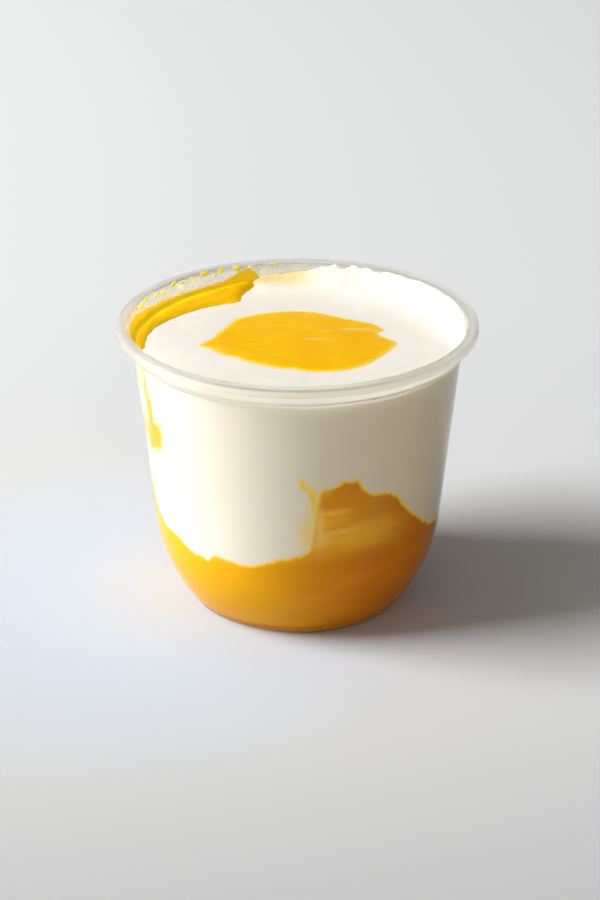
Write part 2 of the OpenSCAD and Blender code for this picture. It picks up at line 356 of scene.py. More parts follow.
def rest_z(x, y):
    """The yogurt's surface away from the wall: level, with the slow swell that a spoon leaves."""
    swell = 0.30 * noise.noise(Vector((x / 21, y / 15, 4.0)))
    ripple = 0.10 * noise.noise(Vector((x / 8, y / 3.6, 9.0)))
    return YOGURT_Z + swell + ripple


@functools.cache
def pool_r(a):
    """Distance of the pool's outline from the axis in direction a."""
    rough = 0.34 * ragged(a, 2.0, 41, 22) + 0.2 * ragged(a, 0.8, 47, 22)
    return through(POOL_EDGE, a) + rough


@functools.cache
def ribbon_end(a):
    """1 along the ribbon, and rounded to 0 at its two ends."""
    blunt = clamp((a - RIBBON_FROM) / RIBBON_BLUNT)
    tip = clamp((RIBBON_TO - a) / RIBBON_TIP)
    return math.sqrt(1 - (1 - blunt) ** 2) * math.sqrt(1 - (1 - tip) ** 2)


@functools.cache
def ribbon_w(a):
    """Width of the ribbon on the yogurt in direction a."""
    rough = 0.4 * ragged(a, 3.0, 61, 37) + 0.2 * ragged(a, 1.0, 67, 37)
    full = fill_r(YOGURT_Z) - through(RIBBON_EDGE, a) + rough
    return max(full, 0.6)


def ribbon_bed(d, a):
    """Depth of the ribbon's bed at distance d from the wall."""
    w = ribbon_w(a)
    if not RIBBON_FROM < a < RIBBON_TO or d >= w:
        return 0.0
    t = d / w
    return RIBBON_BED * ribbon_end(a) * min(w / 8, 1) * (4 * t * (1 - t)) ** 1.5


def top_point(t, a):
    """Yogurt's top, at share t of the way from the wall to the pool's outline."""
    edge, bank = yogurt_edge(a), bank_z(a)
    r = mix(fill_r(edge), pool_r(a), t)
    flat = polar(r, a, 0)
    d = fill_r(edge) - r
    rest = mix(rest_z(flat.x, flat.y), YOGURT_Z, math.exp(-d / 1.5))
    reach = mix(*BANK_REACH, ease(0.4, 4, bank - YOGURT_Z))
    climb = (bank - rest) * math.exp(-((d / reach) ** 1.3))
    z = rest + climb + (edge - bank) * math.exp(-((d / 0.7) ** 1.5)) - ribbon_bed(d, a)
    return polar(min(r, fill_r(z)), a, z)


def pool_point(s, a, up):
    """Upper or under side of the pool, at share s of the way out to its outline."""
    r = s * pool_r(a)
    p = polar(r, a, 0)
    fall = 1 - s * s
    if not up:
        return polar(r, a, rest_z(p.x, p.y) - POOL_DEPTH * fall)
    ridges = 0.09 * noise.noise(Vector((p.x / 9, p.y / 1.7, 15.0))) * ease(0, 0.25, fall)
    edge_swell = POOL_SWELL * math.sqrt(fall) if fall > 0 else 0.0
    return polar(r, a, rest_z(p.x, p.y) + edge_swell + ridges)


# ---- meshes ----


def ring_tube(rows, steps, first=0.0, sweep=360.0):
    """A tube of rings about Z, one unit of height apart, that a piece is drawn out of."""
    bm = bmesh.new()
    column = [bm.verts.new((1, 0, k)) for k in range(rows)]
    for low, high in zip(column, column[1:]):
        bm.edges.new((low, high))
    bmesh.ops.rotate(bm, verts=column, matrix=Matrix.Rotation(math.radians(first), 3, "Z"))
    bmesh.ops.spin(
        bm, geom=column + bm.edges[:], cent=(0, 0, 0), axis=(0, 0, 1),
        angle=math.radians(sweep), steps=steps, use_merge=sweep == 360,
    )
    return bm


def draw_out(bm, steps, place, layers=(), first=0.0, sweep=360.0):
    """Moves each vertex of a ring tube to place(row, direction), which may also give the
    values of the named layers."""
    stores = [bm.verts.layers.float.new(name) for name in layers]
    step = sweep / steps
    for v in bm.verts:
        a = math.degrees(math.atan2(v.co.y, v.co.x))
        a = first + round((a - first) % 360 / step) * step
        if sweep == 360:
            a %= 360
        made = place(round(v.co.z), a)
        v.co = made[0] if layers else made
        for store, value in zip(stores, made[1:] if layers else ()):
            v[store] = value
    bmesh.ops.remove_doubles(bm, verts=bm.verts[:], dist=1e-5)


def to_piece(name, bm, material, slot, *nodes):
    """A finished bmesh in millimetres becomes a smooth piece in metres that rides on the pot."""
    bmesh.ops.dissolve_degenerate(bm, edges=bm.edges[:], dist=1e-6)
    bmesh.ops.recalc_face_normals(bm, faces=bm.faces[:])
    bmesh.ops.scale(bm, vec=(MM, MM, MM), verts=bm.verts[:])
    mesh = bpy.data.meshes.new(name)
    bm.to_mesh(mesh)
    bm.free()
    mesh.shade_smooth()
    mesh.set_sharp_from_angle(angle=SHARP_EDGE)
    mesh.materials.append(material)
    piece = bpy.data.objects.new(name, mesh)
    bpy.context.scene.collection.objects.link(piece)
    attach(piece, "root")
    if nodes:
        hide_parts(*nodes)
    return piece


def cup_shell(material, lip_material, foot_material):
    """The clear cup: one turned section with its foot, ledge, collar and rim."""
    foot_r = outer_side[0].x - FOOT_W
    skirt_low = Vector((RIM_R, CUP_H - LIP_H))
    skirt_in = Vector((RIM_R - LIP_T, CUP_H - LIP_H))
    skirt_top = Vector((RIM_R, CUP_H))
    under_lip = Vector((RIM_R - LIP_T, CUP_H - LIP_T))
    rim = (
        rounded(collar_top, under_lip, skirt_in, MOUTH_FILLET)
        + rounded(skirt_in, skirt_low, skirt_top, MOUTH_FILLET)
        + rounded(skirt_low, skirt_top, mouth, RIM_FILLET)
        + rounded(skirt_top, mouth, inner_high, MOUTH_FILLET)
    )
    foot = [
        Vector((0, FOOT_H - GATE_H)), Vector((GATE_R, FOOT_H - GATE_H)),
        Vector((GATE_R + GATE_H, FOOT_H)), Vector((foot_r - FOOT_CHAMFER, FOOT_H)),
        Vector((foot_r, 0)),
    ]
    section = foot + outer_side + rim + inner_side[-2::-1] + [Vector((0, FLOOR_Z))]
    bm = ring_tube(len(section), CUP_STEPS)
    draw_out(bm, CUP_STEPS, lambda row, a: polar(section[row].x, a, section[row].y))
    cup = to_piece("cup_shell", bm, material, "clear_plastic", "cup")
    cup.data.materials.append(lip_material)
    cup.data.materials.append(foot_material)
    # The foot's faces take the painted glow of the puree above them
    above_floor, inside_ring = FOOT_GLOW_REACH
    for face in cup.data.polygons:
        middle = face.center / MM
        if middle.z > LEDGE_Z - LIP_FINISH:
            face.material_index = 1
        elif middle.z < FLOOR_Z + above_floor and middle.xy.length > foot_r - inside_ring:
            face.material_index = 2
    return cup


def puree_edge_tree():
    """Finds how far a point of the wall is from the puree's upper edge."""
    tree = kdtree.KDTree(STEPS * 4)
    for i in range(STEPS):
        a, b = 360 * i / STEPS, 360 * (i + 1) / STEPS
        for j in range(4):
            z = mix(layer_edge(a), layer_edge(b % 360), j / 4)
            tree.insert(polar(fill_r(z), mix(a, b, j / 4), z), 4 * i + j)
    tree.balance()
    return tree


def puree_bottom(material, puree_edge):
    """The bottom layer of puree, up the wall to its ragged edge and closed over inside."""
    low = FLOOR_Z - SINK
    floor_shares = [0, 0.5, 0.85]
    side = 44
    rows = len(floor_shares) + side + len(SHEET_SHARES)

    def place(row, a):
        if row < len(floor_shares):
            return polar(floor_shares[row] * fill_r(FLOOR_Z), a, low), 0.0, 0.0, FAR
        row -= len(floor_shares)
        if row < side:
            t = row / side
            edge = layer_edge(a)
            z = mix(low, edge, 1 - (1 - t) ** 1.3)
            p = polar(fill_r(z), a, z)
            pale, milk = strokes(TONGUE_STROKES, a, z), strokes(MILK_STROKES, a, z)
            return p, pale, milk, puree_edge.find(p)[2]
        row -= side
        return sheet_point(SHEET_SHARES[-1 - row], a), 0.0, 0.0, 0.0

    bm = ring_tube(rows, STEPS)
    draw_out(bm, STEPS, place, ("streak", "milk", "depth"))
    return to_piece("puree_bottom", bm, material, "puree", "puree_layer")


def stroke(a, z, middle, level, half_a, half_z, lean=0.0):
    """1 in the middle of a soft stroke on the wall, and 0 outside it. Lean is the rise of the
    stroke for each degree."""
    aside = turn(a, middle) / half_a
    above = (z - level - lean * turn(a, middle)) / half_z
    return math.exp(-((aside ** 4 + above ** 4) ** 0.6))


# Paler strokes in the tongue, as (direction, height, half width, half height, lean, strength)
TONGUE_STROKES = [
    (284, 40.0, 6.0, 0.7, 0.0, 1.0), (283, 37.4, 6.5, 1.5, 0.0, 0.6),
    (287, 34.2, 7.5, 0.7, 0.05, 0.95), (288, 31.6, 11.0, 1.4, 0.0, 0.65),
    (300, 34.5, 12.0, 2.6, -0.05, 0.4), (281, 35.0, 2.5, 5.5, 0.0, 0.4),
    (268, 26.2, 16.0, 0.5, 0.05, 0.3), (298, 29.0, 14.0, 0.6, 0.05, 0.3),
    (280, 46.3, 2.6, 1.2, 0.0, 0.6), (294, 38.0, 16.0, 9.0, 0.0, 0.25),
    (294, 31.0, 18.0, 3.0, 0.0, 0.4),
]
# Yogurt stirred into the tongue, in the same form
MILK_STROKES = [
    (278.0, 35.2, 1.9, 5.4, 0.0, 0.75), (277.4, 41.5, 1.2, 3.4, 0.2, 0.5),
    (284.5, 40.1, 4.6, 0.5, 0.0, 0.4), (286.5, 34.3, 6.5, 0.6, 0.03, 0.45),
    (280.5, 32.4, 2.4, 1.6, 0.0, 0.4), (321.0, 33.4, 4.0, 0.9, -0.5, 0.3),
]
# Puree smeared over the yogurt, in the same form
YOGURT_SMEARS = [
    (271.6, 49.0, 1.2, 1.3, -0.3, 0.9), (273.6, 47.2, 2.0, 0.8, -0.5, 0.95),
    (275.6, 45.6, 1.7, 1.8, -0.6, 1.0), (276.0, 42.0, 1.0, 2.6, 0.0, 0.7),
    (274.5, 39.5, 2.2, 4.0, 0.0, 0.25), (274.4, 34.6, 1.9, 3.4, 0.0, 0.5),
    (271.4, 34.4, 1.6, 2.4, 0.0, 0.35), (273.4, 30.8, 2.4, 1.2, 0.0, 0.35),
    (190.0, 51.0, 9.0, 5.0, 0.3, 0.6), (204.5, 51.4, 6.0, 3.4, 0.3, 1.0),
    (205.5, 52.6, 4.2, 2.8, 0.3, 1.0), (203.0, 58.6, 2.6, 4.6, 0.3, 0.9),
    (201.0, 65.5, 1.8, 4.2, 0.3, 0.7), (196.0, 66.0, 4.0, 4.5, 0.0, 0.35),
    (188.0, 68.0, 8.0, 3.0, 0.0, 0.35), (183.0, 46.0, 5.0, 7.0, 0.0, 0.5),
]


def strokes(table, a, z):
    """How much the table's strokes cover a point of the wall together, from 0 to 1."""
    clear = 1.0
    for middle, level, half_a, half_z, lean, strength in table:
        if abs(turn(a, middle)) < 3 * half_a and abs(z - level) < 4 * half_z + 4:
            clear *= 1 - strength * stroke(a, z, middle, level, half_a, half_z, lean)
    return 1 - clear


def yogurt_body(material, puree_edge):
    """The yogurt: up the wall from the puree's edge, over its top, and down into the pool's bed."""
    side, top = 46, 44
    bed_shares = [0.97, 0.9, 0.78, 0.6, 0.4, 0.2, 0]
    rows = len(SHEET_SHARES) + side + top + len(bed_shares)

    def place(row, a):
        if row < len(SHEET_SHARES):
            return sheet_point(SHEET_SHARES[row], a), 0.0, 0.0, FAR, 1.0
        row -= len(SHEET_SHARES)
        if row < side:
            edge = layer_edge(a)
            t = (row + 1) / side
            z = mix(edge, yogurt_edge(a) - 0.08, t ** 1.15)
            p = polar(fill_r(z), a, z)
            return p, strokes(YOGURT_SMEARS, a, z), puree_edge.find(p)[2], FAR, 1.0
        row -= side
        if row < top:
            t = (row / (top - 1)) ** 1.5
            p = top_point(t, a)
            shore = Vector((p.x, p.y)).length - pool_r(a)
            beside_ribbon = ease(*STAIN_IN, a) * (1 - ease(*STAIN_OUT, a))
            stain = STAIN * beside_ribbon * ease(*STAIN_RISE, p.z - YOGURT_Z)
            return p, stain, FAR, shore, 0.0
        row -= top
        return pool_point(bed_shares[row], a, False), 0.0, FAR, 0.0, 0.0

    bm = ring_tube(rows, STEPS)
    draw_out(bm, STEPS, place, ("smear", "depth", "shore", "wall"))
    return to_piece("yogurt_body", bm, material, "yogurt", "yogurt")


# Streaks of yogurt in the pool, as (x, y, half length, half width, lean, strength)
POOL_STREAKS = [
    (15.6, 9.5, 4.2, 0.45, 0.03, 1.0), (9.6, 8.4, 3.4, 0.4, 0.2, 0.45),
    (4.7, 2.0, 3.8, 0.45, 0.0, 0.7), (22.3, 7.9, 3.0, 0.7, -0.3, 1.0),
    (-12.0, 12.0, 7.0, 0.5, 0.1, 0.15), (-22.0, -3.6, 3.6, 0.8, -0.35, 0.6),
]


def pool_streak(x, y):
    """How much the streaks cover a point of the pool together, from 0 to 1."""
    clear = 1.0
    for at_x, at_y, half_x, half_y, lean, strength in POOL_STREAKS:
        off_x = x - at_x
        off_y = y - at_y - lean * off_x
        clear *= 1 - strength * math.exp(-((off_x / half_x) ** 4) - (off_y / half_y) ** 2)
    return 1 - clear


def puree_pool(material):
    """The pool of puree in the middle of the top: a thin lens with spoon ridges."""
    under = [0, 0.25, 0.5, 0.72, 0.88, 0.96]
    over = [1, 0.995, 0.985, 0.97] + [0.95 - 0.95 * i / 80 for i in range(81)]
    rows = len(under) + len(over)

    def place(row, a):
        if row < len(under):
            return pool_point(under[row], a, False), 0.0, 0.0
        s = over[row - len(under)]
        p = pool_point(s, a, True)
        return p, (1 - s) * pool_r(a), pool_streak(p.x, p.y)

    bm = ring_tube(rows, STEPS)
    draw_out(bm, STEPS, place, ("depth", "milk"))
    return to_piece("puree_pool_lens", bm, material, "puree", "puree_pool")


def ribbon_shore_tree():
    """Finds how far a point is from the ribbon's edge on the yogurt."""
    tree = kdtree.KDTree(RIBBON_STEPS + 1)
    for i in range(RIBBON_STEPS + 1):
        a = mix(RIBBON_FROM, RIBBON_TO, i / RIBBON_STEPS)
        w = ribbon_w(a) * max(ribbon_end(a), RIBBON_LEAST)
        tree.insert(polar(fill_r(YOGURT_Z) - w, a, 0), i)
    tree.balance()
    return tree


def puree_ribbon(material):
    """The ribbon of puree along the wall, from its blunt hook at the back to its tip at the left."""
    under = [1, 0.9, 0.72, 0.5, 0.28, 0.1, 0]
    wall = [0.35, 0.7, 1]
    over = [(i / 26) ** 1.4 for i in range(1, 27)]
    rows = len(under) + len(wall) + len(over)
    shore_tree = ribbon_shore_tree()

    def place(row, a):
        size = ribbon_end(a)
        w = ribbon_w(a) * max(size, RIBBON_LEAST)
        base_r = fill_r(YOGURT_Z)
        top = mix(YOGURT_Z, through(RIBBON_TOP, a) + 0.25 * ragged(a, 2.0, 71), size)
        to_left = ease(*RIBBON_TURN, a)
        reach = mix(*RIBBON_REACH, to_left)

        def rest(t):
            p = polar(base_r - t * w, a, 0)
            return rest_z(p.x, p.y)

        climb = mix(*RIBBON_CLIMB, to_left) * max(top - rest(0), 0.0)

        if row < len(under):
            t = under[row]
            z = rest(t) - SINK * size - ribbon_bed(t * w, a)
            return polar(base_r - t * w, a, z), 0.0
        row -= len(under)
        if row < len(wall):
            up = climb + RIBBON_THICK * size
            z = mix(rest(0) - SINK * size, rest(0) + up, wall[row])
            return polar(fill_r(z), a, z), RIBBON_DEEP * size
        row -= len(wall)
        t = over[row]
        r = base_r - t * w
        lump = 0.2 * noise.noise(Vector((r * math.radians(a) / 6, r / 3.0, 77.0))) * size
        shore = shore_tree.find(polar(r, a, 0))[2]
        slope = math.exp(-((t * w / reach) ** 1.25)) * (1 - math.exp(-shore))
        body = (RIBBON_THICK * size + lump) * (1 - math.exp(-shore / 1.3))
        z = rest(t) + climb * slope + body
        deep = min(RIBBON_DEEP + t * w, 3.5 * shore)
        return polar(min(r, fill_r(z)), a, z), deep

    sweep = RIBBON_TO - RIBBON_FROM
    bm = ring_tube(rows + 1, RIBBON_STEPS, RIBBON_FROM, sweep)
    draw_out(bm, RIBBON_STEPS, lambda row, a: place(row % rows, a), ("depth",), RIBBON_FROM, sweep)
    bmesh.ops.holes_fill(bm, edges=[e for e in bm.edges if e.is_boundary])
    for _ in range(3):
        bmesh.ops.smooth_vert(bm, verts=bm.verts[:], factor=0.5, use_axis_x=True,
                              use_axis_y=True, use_axis_z=True)
    ribbon = to_piece("puree_ribbon_band", bm, material, "puree", "puree_ribbon")
    # Puree this thin lets the light through to the rest of it
    ribbon.visible_shadow = False
    return ribbon


# The film on the wall: its ends and how far each fades, its heights, and its thickness plain,
# with the ribbon's coat and at its edge
FILM_FROM = 78.0
FILM_TO = 196.0
FILM_FADES = (4, 14)
FILM_LOW = YOGURT_Z - 0.3
FILM_HIGH = CUP_H - 0.35
FILM_THICK = 0.16
COAT_THICK = 0.1
FILM_EDGE = 0.012
# Half of the height over which the coat's upper edge fades
COAT_FADE = 0.5
FILM_STEPS = 236
FILM_ROWS = 26
# How far the film reaches into the wall, and the middle of a spot stands off it
CLING = 0.02


def wall_film(material):
    """The thin film of yogurt and puree left on the wall above the filling at the back."""

    def place(row, a):
        inner = row >= FILM_ROWS
        t = (row if not inner else 2 * FILM_ROWS - 1 - row) / (FILM_ROWS - 1)
        start = ease(FILM_FROM, FILM_FROM + FILM_FADES[0], a)
        ends = min(start, 1 - ease(FILM_TO - FILM_FADES[1], FILM_TO, a))
        z = mix(FILM_LOW, FILM_HIGH, t)
        coat = 0.0
        if RIBBON_FROM < a < RIBBON_TO:
            edge = through(RIBBON_TOP, a) + 0.4 * ragged(a, 1.6, 71)
            coat = ribbon_end(a) ** 0.5 * (1 - ease(edge - COAT_FADE, edge + COAT_FADE, z))
        thick = (FILM_THICK + COAT_THICK * coat) * ends * ease(0, 0.12, 1 - t) + FILM_EDGE
        on_wall = polar(inner_r(z) + CLING - (thick if inner else 0.0), a, z)
        return on_wall, ends * (1 - t ** 5), t, coat

    sweep = FILM_TO - FILM_FROM
    bm = ring_tube(2 * FILM_ROWS, FILM_STEPS, FILM_FROM, sweep)
    draw_out(bm, FILM_STEPS, place, ("film", "level", "coat"), FILM_FROM, sweep)
    bmesh.ops.holes_fill(bm, edges=[e for e in bm.edges if e.is_boundary])
    film = to_piece("wall_film", bm, material, "yogurt")
    # Too thin to shade the food behind it
    film.visible_shadow = False
    return film


def puree_spots(material):
    """Small flattened spots of puree on the wall under the rim, and finer ones among them."""
    rng = random.Random(11)
    fine = [
        (rng.uniform(96, 180), rng.uniform(75.6, 77.0), rng.uniform(0.25, 0.45))
        for _ in range(16)
    ]
    bm = bmesh.new()
    for a, z, half in SPOTS + fine:
        stretch = rng.uniform(0.5, 0.8)
        depth = 0.12 * half + 0.06
        place = (
            Matrix.Translation(polar(inner_r(z) - CLING, a, z))
            @ Matrix.Rotation(math.radians(a), 4, "Z")
            @ Matrix.Rotation(rng.uniform(-0.5, 0.5), 4, "X")
            @ Matrix.Diagonal((depth, half, half * stretch, 1))
        )
        made = bmesh.ops.create_icosphere(bm, subdivisions=3, radius=1, matrix=place)
        for v in made["verts"]:
            v.co += v.normal * 0.22 * half * noise.noise(v.co * 1.4 / max(half, 0.4))
            r = Vector((v.co.x, v.co.y)).length
            most = inner_r(v.co.z) + SINK
            if r > most:
                v.co.xy *= most / r
            v.co.z = min(v.co.z, CUP_H - 0.1)
    return to_piece("puree_spots", bm, material, "puree")


# ---- materials ----


def fill(tree, plug, value):
    """Sets an input to a value, or joins it to another socket."""
    if isinstance(value, bpy.types.NodeSocket):
        tree.links.new(value, plug)
    elif plug.type == "RGBA":
        plug.default_value = (*value, 1)
    else:
        plug.default_value = value


def fill_named(tree, made, inputs):
    """Fills a node's inputs by their names, where an underscore stands for a space."""
    for name, value in inputs.items():
        fill(tree, made.inputs[name.replace("_", " ")], value)
    return made


def add(tree, kind, **inputs):
    """A node of that kind, with its named inputs set to values or joined to other sockets."""
    return fill_named(tree, tree.nodes.new(kind), inputs)


def spread(tree, value, low, high, to_low=0.0, to_high=1.0, curve="SMOOTHSTEP"):
    """The value, taken along that curve from low..high to to_low..to_high."""
    made = add(tree, "ShaderNodeMapRange", Value=value, From_Min=low, From_Max=high,
               To_Min=to_low, To_Max=to_high)
    made.interpolation_type = curve
    return made.outputs["Result"]


def calc(tree, operation, *values):
    """The result of that operation on the values."""
    made = tree.nodes.new("ShaderNodeMath")
    made.operation = operation
    for plug, value in zip(made.inputs, values):
        fill(tree, plug, value)
    return made.outputs[0]


def tint(tree, share, first, second, blend="MIX"):
    """The first colour, and where share is 1 the second blended over it."""
    made = tree.nodes.new("ShaderNodeMix")
    made.data_type, made.blend_type = "RGBA", blend
    plugs = (made.inputs[0], made.inputs[6], made.inputs[7])
    for plug, value in zip(plugs, (share, first, second)):
        fill(tree, plug, value)
    return made.outputs[2]


def layer(tree, name):
    """The values of a mesh's named layer."""
    made = tree.nodes.new("ShaderNodeAttribute")
    made.attribute_name = name
    return made.outputs["Fac"]


def along(tree, axis):
    """How far a point lies along that axis, in metres."""
    spot = add(tree, "ShaderNodeTexCoord").outputs["Object"]
    return add(tree, "ShaderNodeSeparateXYZ", Vector=spot).outputs[axis]


def across(tree, left, right):
    """0 at the pot's left side and 1 at its right side, smoothly between those X in metres."""
    return spread(tree, along(tree, "X"), left, right)


def group_of(name, inputs, outputs):
    """An empty shader node group with those float inputs and outputs."""
    made = bpy.data.node_groups.new(name, "ShaderNodeTree")
    for label, value in inputs.items():
        plug = made.interface.new_socket(label, in_out="INPUT", socket_type="NodeSocketFloat")
        plug.default_value = value
    for label in outputs:
        made.interface.new_socket(label, in_out="OUTPUT", socket_type="NodeSocketFloat")
    return made, made.nodes.new("NodeGroupInput").outputs, made.nodes.new("NodeGroupOutput").inputs


def stretched_noise(tree, scale, flat, detail=4.0, roughness=0.55):
    """Noise on the piece's own coordinates, drawn out along X and Y by flat."""
    spot = add(tree, "ShaderNodeTexCoord").outputs["Object"]
    turned = add(tree, "ShaderNodeVectorMath", Vector=spot)
    turned.operation = "MULTIPLY"
    reach = add(tree, "ShaderNodeCombineXYZ", X=1.0, Y=1.0, Z=flat)
    tree.links.new(reach.outputs[0], turned.inputs[1])
    made = add(tree, "ShaderNodeTexNoise", Vector=turned.outputs[0], Scale=scale,
               Detail=detail, Roughness=roughness)
    return made.outputs[0]


def make_patches():
    """Soft patches: a mask from 0 to 1 of that scale (per metre), flatter where Flat is more."""
    tree, inputs, outputs = group_of(
        "soft_patches", {"Scale": 100.0, "Flat": 1.0, "Low": 0.4, "High": 0.6}, ["Mask"]
    )
    cloud = stretched_noise(tree, inputs["Scale"], inputs["Flat"])
    tree.links.new(spread(tree, cloud, inputs["Low"], inputs["High"]), outputs["Mask"])
    return tree


def make_cream_relief():
    """Fine relief of a stirred cream: slow waves and a fine grain, as a height."""
    tree, inputs, outputs = group_of(
        "cream_relief", {"Wave Scale": 120.0, "Grain Scale": 900.0, "Grain": 0.2, "Flat": 1.0},
        ["Height"],
    )
    wave = stretched_noise(tree, inputs["Wave Scale"], inputs["Flat"], 3.0)
    grain = stretched_noise(tree, inputs["Grain Scale"], inputs["Flat"], 2.0)
    height = calc(tree, "ADD", wave, calc(tree, "MULTIPLY", grain, inputs["Grain"]))
    tree.links.new(height, outputs["Height"])
    return tree


def use(tree, group, **inputs):
    """What the node group gives with those inputs."""
    made = tree.nodes.new("ShaderNodeGroup")
    made.node_tree = group
    return fill_named(tree, made, inputs).outputs[0]


def blank(name):
    """A material with no nodes yet, and its tree."""
    made = bpy.data.materials.new(name)
    made.use_nodes = True
    made.node_tree.nodes.clear()
    return made, made.node_tree


def finish_material(tree, surface):
    """Joins the surface to the material's output."""
    out = tree.nodes.new("ShaderNodeOutputMaterial")
    tree.links.new(surface, out.inputs["Surface"])


# Colours as linear red, green and blue
YOGURT_COLOUR = (0.93, 0.875, 0.775)
YOGURT_CREAM = (0.945, 0.905, 0.83)
# Painted shade: the yogurt against the wall, darker than on top, and yellower on the pot's right
# side, away from the lamp
WALL_YOGURT_SHADE = (0.815, 0.782, 0.69)
WALL_YOGURT_RIGHT_SHADE = (0.80, 0.728, 0.575)
PUREE_COLOUR = (0.96, 0.51, 0.0)
# Painted shade: the bottom puree's colour on the pot's right side, also used in its few deeper
# patches
PUREE_SHADE_AND_DEEP = (0.62, 0.185, 0.0)
PUREE_PALE = (0.98, 0.58, 0.02)
TOP_PUREE_COLOUR = (1.0, 0.56, 0.002)
TOP_PUREE_DEEP = (1.0, 0.51, 0.001)
TOP_PUREE_PALE = (1.0, 0.68, 0.004)
SMEAR_COLOUR = (0.94, 0.70, 0.09)
STREAK_COLOUR = (0.98, 0.56, 0.04)
MILK_COLOUR = (0.96, 0.66, 0.22)
COAT_COLOUR = (1.0, 0.43, 0.002)
# Painted shade: the smear's and the fringe's colours at the pot's left side, duller where the lamp's
# light is strongest
SMEAR_LEFT_SHADE = (0.67, 0.45, 0.01)
FRINGE_LEFT_SHADE = (0.70, 0.46, 0.05)
HALO_COLOUR = (0.98, 0.84, 0.46)
FILM_CREAM = (0.97, 0.93, 0.80)
FILM_YELLOW = (0.97, 0.86, 0.55)
FILM_STAIN = (0.99, 0.78, 0.22)
# Each plastic's colour, its duller patches, and the share of the lamps' light that it lets by
WALL_PLASTIC = ((0.975, 0.965, 0.94), (0.955, 0.945, 0.915), (0.92, 0.915, 0.90))
# The foot's colour is painted glow: the orange of the puree above, as it shows through the foot
FOOT_PLASTIC_PAINTED_GLOW = ((0.75, 0.34, 0.02), (0.70, 0.30, 0.02), (0.92, 0.915, 0.90))
LIP_PLASTIC = ((0.935, 0.925, 0.88), (0.91, 0.90, 0.85), (0.97, 0.965, 0.955))
FRINGE_COLOUR = (0.99, 0.76, 0.30)


def soften(shader, weight, radius, scale):
    """Light that goes a little way into the food: radius is red, green and blue's share of scale."""
    shader.inputs["Subsurface Weight"].default_value = weight
    shader.inputs["Subsurface Radius"].default_value = radius
    shader.inputs["Subsurface Scale"].default_value = scale


def yogurt_material(patches, relief):
    """Plain yogurt with a soft sheen, smeared and stained by the puree beside it."""
    material, tree = blank("plain_yogurt")
    cream = use(tree, patches, Scale=55.0, Flat=1.6, Low=0.35, High=0.65)
    base = tint(tree, cream, YOGURT_COLOUR, YOGURT_CREAM)
    # Painted shade: against the wall it is painted darker, to temper the lamp's strong light there,
    # and yellower towards the pot's right side, the side away from the lamp
    on_wall = tint(tree, across(tree, -0.005, 0.034), WALL_YOGURT_SHADE, WALL_YOGURT_RIGHT_SHADE)
    base = tint(tree, layer(tree, "wall"), base, on_wall)
    streaky = use(tree, patches, Scale=420.0, Flat=1.8, Low=0.25, High=0.7)
    # Puree smeared over it on the wall, and its faint stain beside the puree and the pool
    smear = calc(tree, "MULTIPLY", layer(tree, "smear"), spread(tree, streaky, 0.0, 1.0, 1.1, 1.5))
    smear = calc(tree, "MINIMUM", smear, 1.0)
    # Painted shade: duller at the left, where it lies in the lamp's full light
    smear_colour_shaded = tint(tree, across(tree, -0.036, -0.015), SMEAR_LEFT_SHADE, SMEAR_COLOUR)
    base = tint(tree, smear, base, smear_colour_shaded)
    fringe = spread(tree, layer(tree, "depth"), 0.8, 0.0, 0.0, 0.55)
    fringe = calc(tree, "MULTIPLY", fringe, spread(tree, streaky, 0.0, 1.0, 0.4, 1.0))
    base = tint(tree, fringe, base, smear_colour_shaded)
    halo = spread(tree, layer(tree, "shore"), 1.4, 0.0, 0.0, 0.65)
    halo = calc(tree, "MULTIPLY", halo, spread(tree, streaky, 0.0, 1.0, 0.3, 1.0))
    base = tint(tree, halo, base, HALO_COLOUR)
    height = use(tree, relief, Wave_Scale=150.0, Grain_Scale=1300.0, Grain=0.12, Flat=1.5)
    bump = add(tree, "ShaderNodeBump", Strength=0.15, Distance=0.0004, Height=height)
    wet = use(tree, patches, Scale=160.0, Flat=1.4, Low=0.3, High=0.7)
    shader = add(tree, "ShaderNodeBsdfPrincipled", Base_Color=base, IOR=1.36,
                 Specular_IOR_Level=0.3, Roughness=spread(tree, wet, 0.0, 1.0, 0.36, 0.5),
                 Normal=bump.outputs[0])
    soften(shader, 0.15, (1.0, 0.8, 0.55), 0.0015)
    finish_material(tree, shader.outputs[0])
    return material


